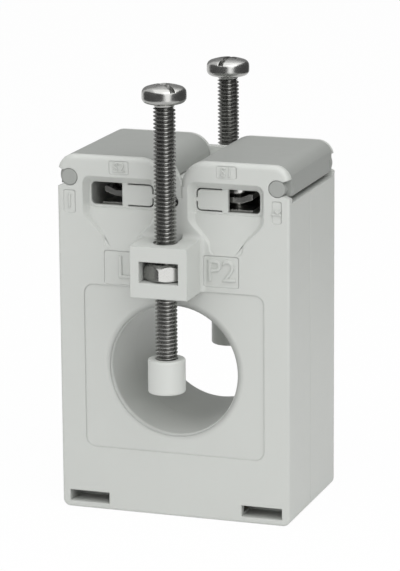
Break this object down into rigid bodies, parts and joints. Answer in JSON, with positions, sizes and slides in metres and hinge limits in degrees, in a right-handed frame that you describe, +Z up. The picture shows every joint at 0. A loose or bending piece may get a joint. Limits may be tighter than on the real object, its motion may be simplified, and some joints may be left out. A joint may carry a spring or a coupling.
{
  "type": "window-type current transformer",
  "caption": "Light grey moulded current transformer with a round primary window, hinged terminal lids and nut-held clamping screws with pressure caps.",
  "frame": {"origin": "bottom centre of the housing, on its underside", "axes": "+Z up through the lids, +Y to the rear along the window's axis, +X to the right seen from the front"},
  "size_m": [0.044, 0.0436, 0.0808],
  "materials": {
    "housing": "fine satin grain",
    "lid": "fine satin grain",
    "cap_plastic": "smooth satin",
    "screw_steel": "bright nickel plate",
    "plated_bar": "bright tin plate",
    "core_steel": "wound strip, oiled",
    "insulation": "matt film",
    "copper_wire": "enamelled copper",
    "tape": "polyester tape",
    "lead_red": "insulated wire",
    "lead_black": "insulated wire"
  },
  "bodies": {
    "housing": {"front_shell": "housing", "rear_shell": "housing", "ring_core": "core_steel", "core_wrap": "insulation", "secondary_winding": "copper_wire", "outer_tape": "tape", "lead_s1": "lead_red", "lead_s2": "lead_black", "terminal_bar_s1": "plated_bar", "terminal_bar_s2": "plated_bar", "clamp_nut_front": "screw_steel", "clamp_nut_rear": "screw_steel"},
    "lid_left": {"lid_left": "lid"},
    "lid_right": {"lid_right": "lid"},
    "clamp_cap_front": {"pressure_cap_front": "cap_plastic"},
    "clamp_screw_front": {"clamp_screw_front": "screw_steel"},
    "clamp_cap_rear": {"pressure_cap_rear": "cap_plastic"},
    "clamp_screw_rear": {"clamp_screw_rear": "screw_steel"},
    "washer_s1_front": {"clamp_washer_s1_front": "plated_bar"},
    "screw_s1_front": {"terminal_screw_s1_front": "screw_steel"},
    "washer_s1_rear": {"clamp_washer_s1_rear": "plated_bar"},
    "screw_s1_rear": {"terminal_screw_s1_rear": "screw_steel"},
    "washer_s2_front": {"clamp_washer_s2_front": "plated_bar"},
    "screw_s2_front": {"terminal_screw_s2_front": "screw_steel"},
    "washer_s2_rear": {"clamp_washer_s2_rear": "plated_bar"},
    "screw_s2_rear": {"terminal_screw_s2_rear": "screw_steel"}
  },
  "joints": [
    {"name": "lid_left_hinge", "type": "hinge", "parent": "housing", "child": "lid_left", "pos_m": [-0.01964, 0, 0.06225], "axis": [0, -1, 0], "range_deg": [0, 100]},
    {"name": "lid_right_hinge", "type": "hinge", "parent": "housing", "child": "lid_right", "pos_m": [0.01964, 0, 0.06225], "axis": [0, 1, 0], "range_deg": [0, 100]},
    {"name": "clamp_cap_front_slide", "type": "slide", "parent": "housing", "child": "clamp_cap_front", "axis": [0, 0, 1], "range_m": [-0.0091, 0.0117]},
    {"name": "clamp_screw_front_spin", "type": "hinge", "parent": "clamp_cap_front", "child": "clamp_screw_front", "pos_m": [0, -0.0178, 0.07735], "axis": [0, 0, 1], "range_deg": [-4680, 6018]},
    {"name": "clamp_cap_rear_slide", "type": "slide", "parent": "housing", "child": "clamp_cap_rear", "axis": [0, 0, 1], "range_m": [-0.0096, 0.0112]},
    {"name": "clamp_screw_rear_spin", "type": "hinge", "parent": "clamp_cap_rear", "child": "clamp_screw_rear", "pos_m": [0, 0.0178, 0.07665], "axis": [0, 0, 1], "range_deg": [-4938, 5760]},
    {"name": "washer_s1_front_slide", "type": "slide", "parent": "housing", "child": "washer_s1_front", "axis": [0, 0, 1], "range_m": [-0.00105, 0.0015]},
    {"name": "screw_s1_front_spin", "type": "hinge", "parent": "washer_s1_front", "child": "screw_s1_front", "pos_m": [0.01005, -0.0068, 0.05968], "axis": [0, 0, 1], "range_deg": [-630, 900]},
    {"name": "washer_s1_rear_slide", "type": "slide", "parent": "housing", "child": "washer_s1_rear", "axis": [0, 0, 1], "range_m": [-0.00105, 0.0015]},
    {"name": "screw_s1_rear_spin", "type": "hinge", "parent": "washer_s1_rear", "child": "screw_s1_rear", "pos_m": [0.01005, 0.0068, 0.05968], "axis": [0, 0, 1], "range_deg": [-630, 900]},
    {"name": "washer_s2_front_slide", "type": "slide", "parent": "housing", "child": "washer_s2_front", "axis": [0, 0, 1], "range_m": [-0.00105, 0.0015]},
    {"name": "screw_s2_front_spin", "type": "hinge", "parent": "washer_s2_front", "child": "screw_s2_front", "pos_m": [-0.01005, -0.0068, 0.05968], "axis": [0, 0, 1], "range_deg": [-630, 900]},
    {"name": "washer_s2_rear_slide", "type": "slide", "parent": "housing", "child": "washer_s2_rear", "axis": [0, 0, 1], "range_m": [-0.00105, 0.0015]},
    {"name": "screw_s2_rear_spin", "type": "hinge", "parent": "washer_s2_rear", "child": "screw_s2_rear", "pos_m": [-0.01005, 0.0068, 0.05968], "axis": [0, 0, 1], "range_deg": [-630, 900]}
  ],
  "couplings": [
    {"joint": "clamp_screw_front_spin", "follows": "clamp_cap_front_slide", "rad_per_m": 8976},
    {"joint": "clamp_screw_rear_spin", "follows": "clamp_cap_rear_slide", "rad_per_m": 8976},
    {"joint": "screw_s1_front_spin", "follows": "washer_s1_front_slide", "rad_per_m": 10472},
    {"joint": "screw_s1_rear_spin", "follows": "washer_s1_rear_slide", "rad_per_m": 10472},
    {"joint": "screw_s2_front_spin", "follows": "washer_s2_front_slide", "rad_per_m": 10472},
    {"joint": "screw_s2_rear_spin", "follows": "washer_s2_rear_slide", "rad_per_m": 10472}
  ]
}
